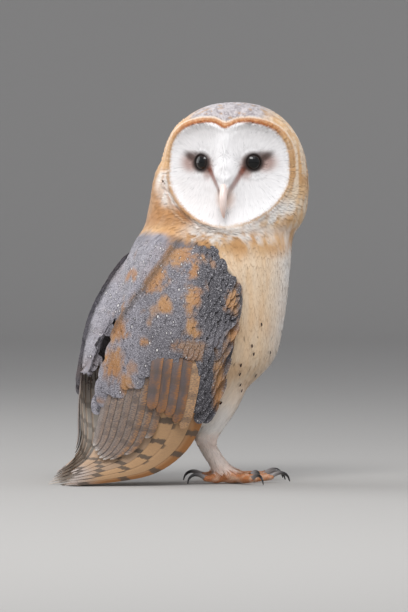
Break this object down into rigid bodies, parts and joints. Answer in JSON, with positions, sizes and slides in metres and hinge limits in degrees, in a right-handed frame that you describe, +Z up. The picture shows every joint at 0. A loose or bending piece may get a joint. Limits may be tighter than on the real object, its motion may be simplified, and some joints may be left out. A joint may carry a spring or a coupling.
{
  "type": "barn owl",
  "caption": "Barn owl at life size, standing with folded wings and its head turned back over the right shoulder.",
  "frame": {"origin": "on the floor, under the middle of the owl's bounding box", "axes": "+X the way the breast faces, +Y to the owl's left, +Z up"},
  "size_m": [0.1956, 0.1414, 0.275],
  "materials": {
    "white_plumage": "soft white down and short feathers",
    "buff_plumage": "soft golden buff feathers",
    "cream_plumage": "soft cream feathers, golden above and paler below",
    "grey_plumage": "grey and orange feathers with fine speckles and pearl spots",
    "barred_feathers": "smooth feather vanes, buff with dark bars",
    "toe_skin": "bare scaly skin with bristles",
    "claw_horn": "polished dark horn",
    "bill_horn": "pale pinkish horn",
    "eye": "wet and glossy, nearly black"
  },
  "bodies": {
    "root": {"bill": "bill_horn", "claw_left_hallux": "claw_horn", "claw_left_inner": "claw_horn", "claw_left_middle": "claw_horn", "claw_left_outer": "claw_horn", "claw_right_hallux": "claw_horn", "claw_right_inner": "claw_horn", "claw_right_middle": "claw_horn", "claw_right_outer": "claw_horn", "eye_left": "eye", "eye_right": "eye", "facial_disc": "white_plumage", "foot_left": "toe_skin", "foot_right": "toe_skin", "head": "buff_plumage", "neck": "buff_plumage", "shank_left": "white_plumage", "shank_right": "white_plumage", "tail": "barred_feathers", "thigh_left": "cream_plumage", "thigh_right": "cream_plumage", "toe_left_hallux": "toe_skin", "toe_left_inner": "toe_skin", "toe_left_middle": "toe_skin", "toe_left_outer": "toe_skin", "toe_right_hallux": "toe_skin", "toe_right_inner": "toe_skin", "toe_right_middle": "toe_skin", "toe_right_outer": "toe_skin", "trunk": "cream_plumage", "wing_left_coverts": "grey_plumage", "wing_left_primaries": "barred_feathers", "wing_left_secondaries": "barred_feathers", "wing_right_coverts": "grey_plumage", "wing_right_primaries": "barred_feathers", "wing_right_secondaries": "barred_feathers"}
  },
  "joints": []
}
